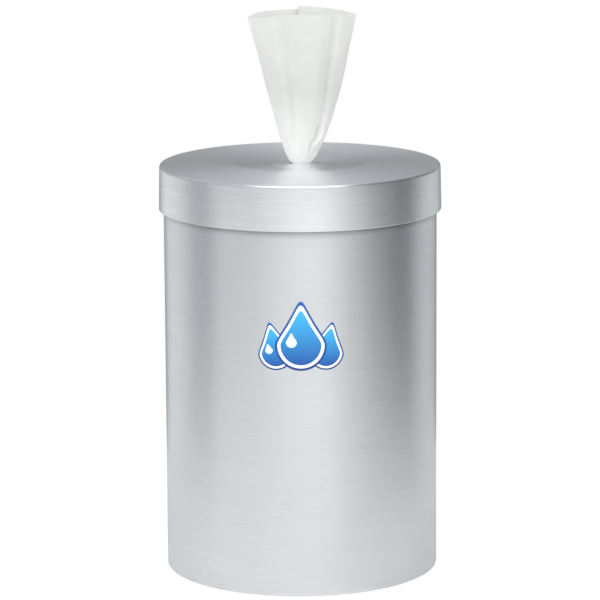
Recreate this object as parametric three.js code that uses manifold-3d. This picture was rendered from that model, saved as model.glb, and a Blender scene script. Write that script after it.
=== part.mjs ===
// A counter-top dispenser for wet wipes: a spun aluminium canister with a lift-off lid.
// A centre-pull roll stands inside in its film bag, and the next wipe is drawn up
// through a slit valve in the middle of the lid.
// Millimetres, +Z up. The origin is on the counter, under the centre of the canister.
import * as THREE from "three";
import { mergeVertices } from "three/addons/utils/BufferGeometryUtils.js";
import Module from "manifold-3d";

const wasm = await Module();
wasm.setup();

// Fits
const SEAT_GAP = 0.3; // between pieces that rest on each other
const SLIDE_GAP = 0.4; // between the canister's bead and the lid's skirt

// Canister
const CAN_RADIUS = 101.6;
const CAN_WALL = 1.2;
const CAN_CORNER = 1.8; // outer radius where the wall turns into the base
const BASE_RING_WIDTH = 11; // the ring of base that is left round the raised panel
const BASE_RECESS = 3; // how far the base panel is raised above that ring
const BASE_STEP_RUN = 1.5; // how far the step up to the panel leans

// Feet
const FOOT_RADIUS = 9;
const FOOT_PROUD = 1; // how far the feet lift the base ring off the counter
const FOOT_EDGE = 0.8; // rounding of a foot's lower edge
const FOOT_INSET = 20.8; // from the edge of the raised panel to the middle of a foot
const FOOT_COUNT = 4;

// Lid
const BODY_HEIGHT = 304.8; // underside of the canister to the top of the lid's shoulder
const LID_WALL = 1.2;
const LID_GAP = 2.3; // between the canister's wall and the inside of the skirt
const SKIRT_HEIGHT = 33.4;
const SHOULDER_RADIUS = 3.4;
const CROWN_RISE = 1.4; // how far the top rises from its shoulder to the dish
const DISH_RADIUS = 49.8;
const DISH_FLOOR_RADIUS = 29.5;
const DISH_DEPTH = 1.8;

// Gasket under the lid
const GASKET_WIDTH = 4.2;
const GASKET_THICKNESS = 2;

// Nozzle: a collar through the lid, a slit valve inside it and a ring nut underneath
const THROAT_RADIUS = 7.3; // the hole that the wipe leaves by
const THROAT_LIP = 1.6; // rounding of its upper edge
const FLANGE_RADIUS = 22.6;
const FLANGE_EDGE = 1.2; // thickness of the flange at its rim
const FLANGE_RISE = 0.9; // how far the flange rises from its rim to the throat
const SPIGOT_RADIUS = 16.6;
const SPIGOT_WALL = 3;
const VALVE_SEAT_DROP = 5.6; // from the top of the throat down to the valve's seat
const VALVE_RIM_THICKNESS = 1.6;
const VALVE_RIM_WIDTH = 2.2;
const PETAL_THICKNESS = 1;
const PETAL_RISE = 1.8; // how far the petals are drawn up by the wipe
const PETAL_COUNT = 8;
const SLIT_WIDTH = 0.8;
const NUT_RADIUS = 22;
const NUT_LIP = 1.5; // thickness of the nut's lip under the valve
const NUT_SCALLOP = 1.2; // depth of the finger grips round the nut
const NUT_GRIPS = 12;

// Roll of wipes and its film bag
const ROLL_HEIGHT = 203.2;
const ROLL_SLACK = 7.4; // between the roll and the canister's wall, where the bag stands
const CORE_RADIUS = 25;
const ROLL_EDGE = 2; // rounding of the roll's outer edges
const TURN_COUNT = 8; // bunches of turns that stand out on the end of the roll
const TURN_RELIEF = 1.4; // depth of the groove between two bunches
const CORE_RISE = 6; // how far the middle turns are drawn up
const FILM = 0.4;
const FLAP_WIDTH = 19; // film tucked in over the roll's upper edge
const FLAP_RUFFLE = 2.6;
const FLAP_PLEATS = 15;

// Wipe: a sheet gathered into a cone above the lid and into a strand below it
const NECK_RADIUS = 6.5; // gathered to this in the throat
const CONE_HEIGHT = 109.5; // from the throat to the wipe's upper edge at the sides
const EDGE_RISE = 3; // how much higher that edge is in front and behind
const EDGE_TILT = 0.8; // how much higher it is on the right, and lower on the left
const CORNER_RISE = 2.4; // how far the outer corner of the sheet stands above that
const CONE_HALF_WIDTH = 39.4; // across, at the upper edge
const CONE_HALF_DEPTH = 20;
const CONE_LEAN = 3.4; // how far the middle of the cone leans to the right
const FLARE = 0.715; // the cone opens as this power of its height
const VALLEY_TURNS = [0.41, 0.625]; // places of the two valleys, in turns from the back
const VALLEY_WIDTH = 0.035; // in turns
const VALLEY_DEPTH = 5.2;
const VALLEY_FADE = 0.45; // share of its depth that a valley loses by the upper edge
const CLOTH = 1; // modelled thickness of the folded cloth
const LAP = 1.6; // step where one side edge lies over the other
const STRAND_RADIUS = 7.4;
const STRAND_LENGTH = 186; // the rest of the first sheet and the whole of the next one
const STRAND_END = 2.5; // rounding in of the torn end
const STRAND_SPREAD = 20; // length over which the strand swells from the throat's size
const STRAND_TWIST = 0.03; // radians for each millimetre
const STRAND_SWING = 2; // how far the strand winds round the core on its way down, in radians
const FLUTE_COUNT = 8;
const FLUTE_DEPTH = 0.09; // share of the strand's radius

// Facets
const AROUND_LARGE = 64;
const AROUND_ROLL = 48;
const AROUND_SMALL = 32;
const AROUND_WIPE = 40;

// Levels and radii that follow from the sizes
const canFloor = FOOT_PROUD;
const panelUnder = canFloor + BASE_RECESS;
const panelTop = panelUnder + CAN_WALL;
const panelRadius = CAN_RADIUS - CAN_CORNER - BASE_RING_WIDTH;
const footCircle = panelRadius - FOOT_INSET;
const canInner = CAN_RADIUS - CAN_WALL;

const shoulderHeight = canFloor + BODY_HEIGHT;
const skirtInner = CAN_RADIUS + LID_GAP;
const lidRadius = skirtInner + LID_WALL;
const lidUnder = shoulderHeight - LID_WALL;
const skirtBottom = shoulderHeight - SKIRT_HEIGHT;
const crownTop = shoulderHeight + CROWN_RISE;
const dishFloor = crownTop - DISH_DEPTH;
const lidHoleRadius = SPIGOT_RADIUS + SEAT_GAP;
const seatRadius = FLANGE_RADIUS + SEAT_GAP;
const seatFloor = dishFloor - FLANGE_EDGE - SEAT_GAP;

const gasketTop = lidUnder - SEAT_GAP;
const gasketBottom = gasketTop - GASKET_THICKNESS;
const gasketRadius = skirtInner - (SHOULDER_RADIUS - LID_WALL);
const beadTop = gasketBottom - SEAT_GAP;
const beadRadius = (skirtInner - SLIDE_GAP - canInner) / 2;
const beadCentre = canInner + beadRadius;

const flangeUnder = seatFloor + SEAT_GAP;
const throatTop = flangeUnder + FLANGE_EDGE + FLANGE_RISE;
const valveSeat = throatTop - VALVE_SEAT_DROP;
const valveTop = valveSeat - SEAT_GAP;
const valveBottom = valveTop - VALVE_RIM_THICKNESS;
const spigotBore = SPIGOT_RADIUS - SPIGOT_WALL;
const valveRadius = spigotBore - SEAT_GAP;
const petalRoot = valveRadius - VALVE_RIM_WIDTH;
const nutTop = seatFloor - LID_WALL - SEAT_GAP;
const nutLipTop = valveBottom - SEAT_GAP;
const nutBottom = nutLipTop - NUT_LIP;

const bagFloor = panelTop + SEAT_GAP;
const rollFloor = bagFloor + FILM + SEAT_GAP;
const rollTop = rollFloor + ROLL_HEIGHT;
const rollRadius = canInner - ROLL_SLACK;
const bagInner = rollRadius + SEAT_GAP;

// Materials
const material = (color, metalness, roughness, extra = {}) =>
  new THREE.MeshStandardMaterial({ color, metalness, roughness, ...extra });
const brushedAluminium = material(0xc6cacd, 1, 0.34);
const blackRubber = material(0x232425, 0, 0.8);
const foamRubber = material(0x3a3c3e, 0, 0.95);
const greyPlastic = material(0x8d9194, 0, 0.5);
const clearSilicone = material(0xdfe3e4, 0, 0.35);
const wovenWipe = material(0xf1f2f0, 0, 0.95);
const clearFilm = material(0xe6eef2, 0, 0.2, { transparent: true, opacity: 0.4 });

// A closed outline in the radius-height plane, turned about the Z axis. It runs
// anticlockwise, so that it climbs on the outside of the piece.
function turned(outline, around, arcSteps = 2) {
  const lathe = new THREE.LatheGeometry(outline.closePath().getPoints(arcSteps), around);
  return lathe.rotateX(Math.PI / 2);
}

// A stack of rings with equally many points each, skinned and closed at both ends.
// Each ring runs anticlockwise seen from above, and the skin climbs on the outside.
function lofted(rings) {
  const count = rings[0].length;
  const points = rings.flat();
  const faces = [];
  for (let row = 0; row < rings.length - 1; row++) {
    for (let i = 0; i < count; i++) {
      const a = row * count + i;
      const b = row * count + ((i + 1) % count);
      faces.push(a, b, b + count, a, b + count, a + count);
    }
  }
  const capEnd = (ring, first, outward) => {
    const middle = new THREE.Vector3();
    ring.forEach((p) => middle.addScaledVector(p, 1 / count));
    const centre = points.push(middle) - 1;
    for (let i = 0; i < count; i++) {
      const pair = [first + i, first + ((i + 1) % count)];
      faces.push(centre, ...(outward ? pair : pair.reverse()));
    }
  };
  capEnd(rings[0], 0, false);
  capEnd(rings.at(-1), (rings.length - 1) * count, true);
  const geometry = new THREE.BufferGeometry().setFromPoints(points);
  geometry.setIndex(faces);
  geometry.computeVertexNormals();
  return geometry;
}

// A closed geometry as a manifold-3d solid, for cutting and joining.
function solidOf(geometry) {
  const bare = geometry.clone();
  bare.deleteAttribute("normal");
  bare.deleteAttribute("uv");
  const merged = mergeVertices(bare, 1e-4);
  return new wasm.Manifold(
    new wasm.Mesh({
      numProp: 3,
      vertProperties: merged.attributes.position.array,
      triVerts: new Uint32Array(merged.index.array),
    }),
  );
}

// The geometry of a manifold-3d solid.
function geometryOf(solid) {
  const { vertProperties, triVerts } = solid.getMesh();
  const geometry = new THREE.BufferGeometry();
  geometry.setAttribute("position", new THREE.BufferAttribute(vertProperties, 3));
  geometry.setIndex(new THREE.BufferAttribute(triVerts, 1));
  geometry.computeVertexNormals();
  return geometry;
}

const dispenser = new THREE.Group();

// Adds a named piece to the dispenser.
function add(name, geometry, finish, place = [0, 0, 0]) {
  const mesh = new THREE.Mesh(geometry, finish);
  mesh.name = name;
  mesh.position.set(...place);
  dispenser.add(mesh);
}

// One spun shell: raised base panel, straight wall and a wired bead rolled outwards.
function canister() {
  const beadHeight = beadTop - beadRadius;
  const meet = Math.acos((CAN_RADIUS - beadCentre) / beadRadius);
  const innerCorner = CAN_CORNER - CAN_WALL;
  const stepTop = panelRadius - BASE_STEP_RUN;
  const outline = new THREE.Path()
    .moveTo(0, panelUnder)
    .lineTo(stepTop, panelUnder)
    .lineTo(panelRadius, canFloor)
    .lineTo(CAN_RADIUS - CAN_CORNER, canFloor)
    .absarc(CAN_RADIUS - CAN_CORNER, canFloor + CAN_CORNER, CAN_CORNER, -Math.PI / 2, 0)
    .lineTo(CAN_RADIUS, beadHeight - beadRadius * Math.sin(meet))
    .absarc(beadCentre, beadHeight, beadRadius, -meet, Math.PI)
    .lineTo(canInner, canFloor + CAN_CORNER)
    .absarc(
      CAN_RADIUS - CAN_CORNER,
      canFloor + CAN_CORNER,
      innerCorner,
      0,
      -Math.PI / 2,
      true,
    )
    .lineTo(panelRadius + CAN_WALL / 2, canFloor + CAN_WALL)
    .lineTo(stepTop + CAN_WALL / 2, panelTop)
    .lineTo(0, panelTop);
  return turned(outline, AROUND_LARGE);
}

// One stick-on foot in the hollow of the base.
function foot() {
  const outline = new THREE.Path()
    .moveTo(0, 0)
    .lineTo(FOOT_RADIUS - FOOT_EDGE, 0)
    .absarc(FOOT_RADIUS - FOOT_EDGE, FOOT_EDGE, FOOT_EDGE, -Math.PI / 2, 0)
    .lineTo(FOOT_RADIUS, panelUnder - SEAT_GAP)
    .lineTo(0, panelUnder - SEAT_GAP);
  return turned(outline, AROUND_SMALL / 2, 1);
}

// One spun cap: skirt with a rounded lip, crowned top, and a shallow dish with a stepped
// seat round the hole, which lets the nozzle's flange lie flush.
function lid() {
  const lip = LID_WALL / 2;
  const fillet = SHOULDER_RADIUS - LID_WALL;
  const shoulder = lidRadius - SHOULDER_RADIUS;
  const shoulderLevel = shoulderHeight - SHOULDER_RADIUS;
  const midTop = (shoulder + DISH_RADIUS) / 2;
  const midDish = (DISH_RADIUS + DISH_FLOOR_RADIUS) / 2;
  const outline = new THREE.Path()
    .moveTo(lidHoleRadius, seatFloor - LID_WALL)
    .lineTo(seatRadius + LID_WALL, seatFloor - LID_WALL)
    .lineTo(seatRadius + LID_WALL, dishFloor - LID_WALL)
    .lineTo(DISH_FLOOR_RADIUS, dishFloor - LID_WALL)
    .quadraticCurveTo(midDish, dishFloor - LID_WALL, DISH_RADIUS, crownTop - LID_WALL)
    .quadraticCurveTo(midTop, crownTop - LID_WALL, shoulder, lidUnder)
    .absarc(shoulder, shoulderLevel, fillet, Math.PI / 2, 0, true)
    .lineTo(skirtInner, skirtBottom + lip)
    .absarc(skirtInner + lip, skirtBottom + lip, lip, Math.PI, 2 * Math.PI)
    .lineTo(lidRadius, shoulderLevel)
    .absarc(shoulder, shoulderLevel, SHOULDER_RADIUS, 0, Math.PI / 2)
    .quadraticCurveTo(midTop, crownTop, DISH_RADIUS, crownTop)
    .quadraticCurveTo(midDish, dishFloor, DISH_FLOOR_RADIUS, dishFloor)
    .lineTo(seatRadius, dishFloor)
    .lineTo(seatRadius, seatFloor)
    .lineTo(lidHoleRadius, seatFloor);
  return turned(outline, AROUND_LARGE);
}

// A flat ring glued under the lid, which comes down on the canister's bead.
function gasket() {
  const outline = new THREE.Path()
    .moveTo(gasketRadius - GASKET_WIDTH, gasketBottom)
    .lineTo(gasketRadius, gasketBottom)
    .lineTo(gasketRadius, gasketTop)
    .lineTo(gasketRadius - GASKET_WIDTH, gasketTop);
  return turned(outline, AROUND_LARGE);
}

// The turned collar: a low domed flange flush with the dish, and a spigot through the lid.
function nozzleCollar() {
  const edge = FLANGE_EDGE / 2;
  const flareTop = valveSeat + PETAL_RISE + PETAL_THICKNESS;
  const lipCentre = THROAT_RADIUS + THROAT_LIP;
  const outline = new THREE.Path()
    .moveTo(THROAT_RADIUS, flareTop)
    .lineTo(petalRoot, valveSeat)
    .lineTo(spigotBore, valveSeat)
    .lineTo(spigotBore, valveBottom)
    .lineTo(SPIGOT_RADIUS, valveBottom)
    .lineTo(SPIGOT_RADIUS, flangeUnder)
    .lineTo(FLANGE_RADIUS - edge, flangeUnder)
    .absarc(FLANGE_RADIUS - edge, flangeUnder + edge, edge, -Math.PI / 2, Math.PI / 2)
    .quadraticCurveTo((FLANGE_RADIUS + lipCentre) / 2, throatTop, lipCentre, throatTop)
    .absarc(lipCentre, throatTop - THROAT_LIP, THROAT_LIP, Math.PI / 2, Math.PI);
  return turned(outline, AROUND_SMALL);
}

// The soft valve: a clamped rim, and petals that the wipe has drawn up between slits.
function slitValve() {
  const tip = NECK_RADIUS + SEAT_GAP;
  const root = petalRoot - PETAL_THICKNESS;
  const outline = new THREE.Path()
    .moveTo(tip, valveTop + PETAL_RISE - PETAL_THICKNESS)
    .lineTo(root, valveBottom)
    .lineTo(valveRadius, valveBottom)
    .lineTo(valveRadius, valveTop)
    .lineTo(petalRoot, valveTop)
    .lineTo(tip, valveTop + PETAL_RISE);
  let valve = solidOf(turned(outline, AROUND_SMALL));
  const height = 4 * (PETAL_RISE + VALVE_RIM_THICKNESS);
  for (let i = 0; i < PETAL_COUNT; i++) {
    const slit = new THREE.BoxGeometry(root, SLIT_WIDTH, height);
    slit.translate(root / 2, 0, valveTop).rotateZ((2 * Math.PI * (i + 0.5)) / PETAL_COUNT);
    valve = valve.subtract(solidOf(slit));
  }
  return geometryOf(valve);
}

// The ring nut: scalloped for the fingers, with a lip that holds the valve up.
function ringNut() {
  const grip = new THREE.Shape();
  const steps = NUT_GRIPS * 5;
  for (let i = 0; i < steps; i++) {
    const angle = (2 * Math.PI * i) / steps;
    const dip = NUT_SCALLOP * (0.5 + 0.5 * Math.cos(NUT_GRIPS * angle));
    const point = [(NUT_RADIUS - dip) * Math.cos(angle), (NUT_RADIUS - dip) * Math.sin(angle)];
    if (i === 0) grip.moveTo(...point);
    else grip.lineTo(...point);
  }
  const depth = nutTop - nutBottom;
  const body = new THREE.ExtrudeGeometry(grip, { depth, bevelEnabled: false });
  const bore = SPIGOT_RADIUS + SEAT_GAP;
  const outline = new THREE.Path()
    .moveTo(0, nutBottom - NUT_LIP)
    .lineTo(petalRoot, nutBottom - NUT_LIP)
    .lineTo(petalRoot, nutLipTop)
    .lineTo(bore, nutLipTop)
    .lineTo(bore, nutTop + NUT_LIP)
    .lineTo(0, nutTop + NUT_LIP);
  const blank = solidOf(body.translate(0, 0, nutBottom));
  return geometryOf(blank.subtract(solidOf(turned(outline, AROUND_SMALL))));
}

// The roll, wound on no core. Grooves between bunches of turns show on its upper end,
// and the middle turns have been drawn up by the wipes pulled out before.
function wipeRoll() {
  const outline = new THREE.Path()
    .moveTo(CORE_RADIUS, rollFloor)
    .lineTo(rollRadius - ROLL_EDGE, rollFloor)
    .absarc(rollRadius - ROLL_EDGE, rollFloor + ROLL_EDGE, ROLL_EDGE, -Math.PI / 2, 0)
    .lineTo(rollRadius, rollTop - ROLL_EDGE)
    .absarc(rollRadius - ROLL_EDGE, rollTop - ROLL_EDGE, ROLL_EDGE, 0, Math.PI / 2);
  const windings = rollRadius - ROLL_EDGE - CORE_RADIUS;
  const rise = (share) => CORE_RISE * share ** 4;
  for (let turn = 1; turn <= TURN_COUNT; turn++) {
    const ridge = turn / TURN_COUNT;
    const groove = (turn - 0.5) / TURN_COUNT;
    const start = rollRadius - ROLL_EDGE;
    outline.lineTo(start - windings * groove, rollTop + rise(groove) - TURN_RELIEF);
    outline.lineTo(start - windings * ridge, rollTop + rise(ridge));
  }
  return turned(outline, AROUND_ROLL, 1);
}

// The film bag: it stands round the roll, and its mouth is tucked in over the top in pleats.
function refillBag() {
  const outside = bagInner + FILM;
  const flapUnder = rollTop + SEAT_GAP;
  const flapEdge = bagInner - FLAP_WIDTH;
  const outline = new THREE.Path()
    .moveTo(0, bagFloor)
    .lineTo(outside, bagFloor)
    .lineTo(outside, flapUnder + FILM)
    .lineTo((outside + flapEdge) / 2, flapUnder + FILM)
    .lineTo(flapEdge, flapUnder + FILM)
    .lineTo(flapEdge, flapUnder)
    .lineTo((outside + flapEdge) / 2, flapUnder)
    .lineTo(bagInner, flapUnder)
    .lineTo(bagInner, bagFloor + FILM)
    .lineTo(0, bagFloor + FILM);
  const film = turned(outline, AROUND_ROLL);
  const place = film.attributes.position;
  for (let i = 0; i < place.count; i++) {
    const radius = Math.hypot(place.getX(i), place.getY(i));
    const angle = Math.atan2(place.getY(i), place.getX(i));
    const share = Math.max(0, (bagInner - radius) / FLAP_WIDTH);
    const wave = 0.5 + 0.5 * Math.cos(FLAP_PLEATS * angle);
    const lifted = place.getZ(i) >= flapUnder ? FLAP_RUFFLE * share * wave : 0;
    place.setZ(i, place.getZ(i) + lifted);
  }
  film.computeVertexNormals();
  return film;
}

// Where the middle of the wipe is at a height above the throat: it leans a little
// to the right as it opens, and below the lid it swings over to the core's side.
function wipeMiddle(height) {
  if (height >= 0) {
    const share = Math.min(1, height / (CONE_HEIGHT / 2));
    return new THREE.Vector2(CONE_LEAN * Math.sin((share * Math.PI) / 2), 0);
  }
  const share = Math.min(1, -height / STRAND_LENGTH);
  const swing = (CORE_RADIUS - STRAND_RADIUS - 2 * SEAT_GAP) * share ** 3;
  const bearing = STRAND_SWING * share;
  return new THREE.Vector2(swing * Math.cos(bearing), swing * Math.sin(bearing));
}

// How far the cone has opened at a height above the throat, from 0 at the throat to 1.
const opened = (height) => Math.max(0, height / CONE_HEIGHT) ** FLARE;

// One ring of the wipe's surface, set in by an inset. Two valleys run up the front, and
// the sheet's side edges lap at the back.
function wipeRing(height, inset) {
  const open = opened(height);
  const below = Math.min(1, Math.max(0, -height / STRAND_SPREAD));
  const gathered = NECK_RADIUS + (STRAND_RADIUS - NECK_RADIUS) * below;
  const halfWidth = gathered + (CONE_HALF_WIDTH - NECK_RADIUS) * open;
  const halfDepth = gathered + (CONE_HALF_DEPTH - NECK_RADIUS) * open;
  const middle = wipeMiddle(height);
  const twist = Math.min(0, height) * STRAND_TWIST;
  const fluting = gathered * FLUTE_DEPTH * (1 - open);
  const valleyDepth = VALLEY_DEPTH * open * (1 - VALLEY_FADE * open);
  const valley = (turn, centre) => Math.exp(-(((turn - centre) / VALLEY_WIDTH) ** 2));
  const ring = [];
  for (let i = 0; i < AROUND_WIPE; i++) {
    const turn = i / AROUND_WIPE;
    const angle = 2 * Math.PI * turn + Math.PI / 2;
    const lap = open * LAP * (0.5 - turn);
    const fold = valleyDepth * VALLEY_TURNS.reduce((sum, at) => sum + valley(turn, at), 0);
    const flute = fluting * (Math.cos(FLUTE_COUNT * (angle + twist)) - 1);
    const offset = lap + flute - fold - inset;
    const corner = Math.max(0, (turn - 0.75) / 0.25) ** 2;
    const rise = EDGE_RISE * Math.sin(angle) ** 2 + EDGE_TILT * Math.cos(angle);
    const edge = rise + CORNER_RISE * corner;
    ring.push(
      new THREE.Vector3(
        middle.x + (halfWidth + offset) * Math.cos(angle),
        middle.y + (halfDepth + offset) * Math.sin(angle),
        throatTop + height + edge * open ** 2,
      ),
    );
  }
  return ring;
}

// The wipe: the gathered strand below the lid, and the open cone above it.
function wipe() {
  const strandRows = 12;
  const coneRows = 11;
  const rings = [];
  for (let row = 0; row <= strandRows; row++) {
    const height = -STRAND_LENGTH * (1 - row / strandRows);
    rings.push(wipeRing(height, row === 0 ? STRAND_END : 0));
  }
  const coneHeight = (row) => CONE_HEIGHT * (row / coneRows) ** 1.4;
  for (let row = 1; row <= coneRows; row++) rings.push(wipeRing(coneHeight(row), 0));
  for (let row = coneRows; row >= 3; row--) rings.push(wipeRing(coneHeight(row), CLOTH));
  return lofted(rings);
}

add("canister", canister(), brushedAluminium);
for (let i = 0; i < FOOT_COUNT; i++) {
  const angle = (2 * Math.PI * (i + 0.5)) / FOOT_COUNT;
  const place = [footCircle * Math.cos(angle), footCircle * Math.sin(angle), 0];
  add(`foot_${i + 1}`, foot(), blackRubber, place);
}
add("refill_bag", refillBag(), clearFilm);
add("wipe_roll", wipeRoll(), wovenWipe);
add("lid", lid(), brushedAluminium);
add("lid_gasket", gasket(), foamRubber);
add("nozzle_collar", nozzleCollar(), brushedAluminium);
add("slit_valve", slitValve(), clearSilicone);
add("ring_nut", ringNut(), greyPlastic);
add("wipe", wipe(), wovenWipe);

export default dispenser;
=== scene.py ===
"""Looks of a counter-top dispenser for wet wipes: a brushed aluminium canister and cap lid.

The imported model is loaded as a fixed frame. The turned pieces, the wipe, the roll and its
film bag are made again here as fine surfaces, and every piece gets its finish.
Units are metres unless a class says millimetres. +Z is up, and the front faces -Y.
"""

from __future__ import annotations

import logging
import math
from dataclasses import dataclass
from enum import Enum

import bmesh
import bpy
import numpy as np
from mathutils import Matrix, Vector


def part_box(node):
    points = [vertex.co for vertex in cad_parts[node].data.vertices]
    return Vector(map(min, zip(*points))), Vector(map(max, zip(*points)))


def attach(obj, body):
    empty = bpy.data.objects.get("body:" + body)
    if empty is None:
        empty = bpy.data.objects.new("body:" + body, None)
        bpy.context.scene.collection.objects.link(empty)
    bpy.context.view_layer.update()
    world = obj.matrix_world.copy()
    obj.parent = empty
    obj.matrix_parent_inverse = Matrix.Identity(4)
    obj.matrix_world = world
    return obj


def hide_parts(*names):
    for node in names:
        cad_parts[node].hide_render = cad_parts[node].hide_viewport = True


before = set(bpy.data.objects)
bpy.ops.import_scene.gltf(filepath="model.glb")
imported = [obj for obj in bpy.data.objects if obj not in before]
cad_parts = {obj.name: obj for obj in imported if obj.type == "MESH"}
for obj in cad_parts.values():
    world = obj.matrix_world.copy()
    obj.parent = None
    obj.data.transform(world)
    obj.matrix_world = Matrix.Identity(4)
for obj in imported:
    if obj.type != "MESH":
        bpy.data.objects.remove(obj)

log = logging.getLogger("dispenser")

Spot = tuple[float, float]
Colour = tuple[float, float, float, float]
Value = float | bpy.types.NodeSocket

MM = 0.001
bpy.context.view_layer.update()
# Points nearer than this are one, and shorter edges vanish.
SAME_PLACE = 1e-6
NO_LENGTH = 1e-7
# Brush lines are read no nearer to the axis than this.
NEXT_TO_AXIS = 0.1 * MM
# Most values of a noise lie in this range.
NOISE_RANGE = (0.3, 0.7)
BLACK = (0.0, 0.0, 0.0, 1.0)
WHITE = (1.0, 1.0, 1.0, 1.0)

# Tints of the room's dark and light tones.
DARK_TINT = (0.945, 1.0, 1.06)
LIGHT_TINT = (1.0, 1.0, 0.975)
# Bearing in degrees, 0 towards the front and 90 to the right, and the room's tone there.
ROOM_TONES = (
    (-180, 0.08), (-162, 0.3), (-145, 0.67), (-126, 0.68), (-113, 0.6), (-101, 0.39),
    (-85, 0.33), (-70, 0.62), (-38, 0.61), (-16, 0.76), (0, 0.91), (16, 0.93),
    (34, 0.72), (48, 0.56), (68, 0.29), (92, 0.15), (103, 0.19), (117, 0.47),
    (126, 0.55), (145, 0.53), (162, 0.28), (180, 0.08),
)


class Body(str, Enum):
    """The bodies of the frame that pieces ride on."""

    CANISTER = "canister"
    LID = "lid"


class Slot(str, Enum):
    """The record's material slots."""

    METAL = "brushed_aluminium"
    RUBBER = "black_rubber"
    FOAM = "grey_foam"
    CLOTH = "wipe_cloth"
    FILM = "clear_film"


# Surfaces


def arc(centre: Spot, radius: float, start: float, end: float, steps: int = 10) -> np.ndarray:
    """Points of a circular arc: centre + radius * (cos a, sin a), for a from start to end.

    Args:
        centre: distance from the axis and height of the arc's centre.
        radius: the arc's radius.
        start: first angle in degrees.
        end: last angle in degrees.
        steps: number of chords.

    Returns:
        An array of (steps + 1, 2).
    """
    angle = np.radians(np.linspace(start, end, steps + 1))
    return np.stack([centre[0] + radius * np.cos(angle), centre[1] + radius * np.sin(angle)], 1)


def bend(start: Spot, pull: Spot, end: Spot, steps: int = 12) -> np.ndarray:
    """Points of a quadratic curve: (1-s)^2 start + 2 s (1-s) pull + s^2 end, for s from 0 to 1.

    Args:
        start: first point, as distance from the axis and height.
        pull: the point that the curve leans towards.
        end: last point.
        steps: number of chords.

    Returns:
        An array of (steps + 1, 2).
    """
    s = np.linspace(0.0, 1.0, steps + 1)[:, None]
    return (1 - s) ** 2 * np.array(start) + 2 * s * (1 - s) * np.array(pull) + s**2 * np.array(end)


def line(*points: Spot) -> np.ndarray:
    """The given points as a stretch of a profile."""
    return np.array(points, float)


def run_along(points: np.ndarray) -> np.ndarray:
    """The length of the way from the first point of an (n, 2) outline to each of its points."""
    return np.concatenate([[0.0], np.cumsum(np.hypot(*np.diff(points, axis=0).T))])


def cells(rows: int, wide: int, across: int, wrap: bool) -> np.ndarray:
    """The corners of every cell of a grid of points, as numbers of points: row * wide + column.

    Args:
        rows: number of rows of cells.
        wide: number of points in a row.
        across: number of cells in a row.
        wrap: True if the last column joins the first one.

    Returns:
        An array of (rows * across, 4).
    """
    row, column = np.meshgrid(np.arange(rows), np.arange(across), indexing="ij")
    here, above = row * wide, (row + 1) * wide
    beside = (column + 1) % wide if wrap else column + 1
    corners = (here + column, here + beside, above + beside, above + column)
    return np.stack(corners, axis=-1).reshape(-1, 4)


def sheet_mesh(
    name: str, points: np.ndarray, uv: np.ndarray | None = None, wrap: bool = False
) -> bpy.types.Mesh:
    """A mesh over a grid of points, one face for each cell of the grid.

    Args:
        name: name of the mesh.
        points: array of (rows, columns, 3) in metres.
        uv: array of (rows, columns + 1 if wrap else columns, 2), or None.
        wrap: True if the last column joins the first one.

    Returns:
        The mesh, shaded smooth.
    """
    rows, columns, _ = points.shape
    across = columns if wrap else columns - 1
    mesh = bpy.data.meshes.new(name)
    mesh.from_pydata(points.reshape(-1, 3), [], cells(rows - 1, columns, across, wrap).tolist())
    if uv is not None:
        at = cells(rows - 1, uv.shape[1], across, wrap=False).reshape(-1)
        layer = mesh.uv_layers.new(name="surface")
        layer.data.foreach_set("uv", uv.reshape(-1, 2)[at].astype(np.float32).ravel())
    mesh.polygons.foreach_set("use_smooth", np.ones(len(mesh.polygons), bool))
    mesh.update()
    return mesh


def turned_mesh(name: str, profile: np.ndarray, around: int = 256, sharp: float = 32.0) -> bpy.types.Mesh:
    """A closed profile turned about the Z axis: (r cos a, r sin a, z) for each profile point.

    Args:
        name: name of the mesh.
        profile: closed outline of (n, 2) in metres, anticlockwise, so that faces point outwards.
        around: number of steps in a full turn.
        sharp: edges that bend more than this many degrees are shaded sharp.

    Returns:
        The mesh, with the poles on the axis closed.
    """
    loop = np.vstack([profile, profile[:1]])
    angle = np.linspace(0.0, 2 * np.pi, around, endpoint=False)
    radius, height = loop[:, :1], loop[:, 1:]
    points = np.stack([radius * np.cos(angle), radius * np.sin(angle), height + 0 * angle], axis=-1)
    run = run_along(loop)
    turn = np.linspace(0.0, 1.0, around + 1)
    uv = np.stack([turn + 0 * run[:, None], 0 * turn + run[:, None] / run[-1]], axis=-1)
    mesh = sheet_mesh(name, points[:, ::-1], uv, wrap=True)
    weld(mesh)
    mesh.set_sharp_from_angle(angle=math.radians(sharp))
    return mesh


def weld(mesh: bpy.types.Mesh) -> None:
    """Joins points that lie in one place, drops faces that vanish, and turns the faces outwards.

    Args:
        mesh: the mesh, changed in place.
    """
    work = bmesh.new()
    work.from_mesh(mesh)
    bmesh.ops.remove_doubles(work, verts=work.verts, dist=SAME_PLACE)
    bmesh.ops.dissolve_degenerate(work, edges=work.edges, dist=NO_LENGTH)
    bmesh.ops.recalc_face_normals(work, faces=work.faces)
    work.to_mesh(mesh)
    work.free()


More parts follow.
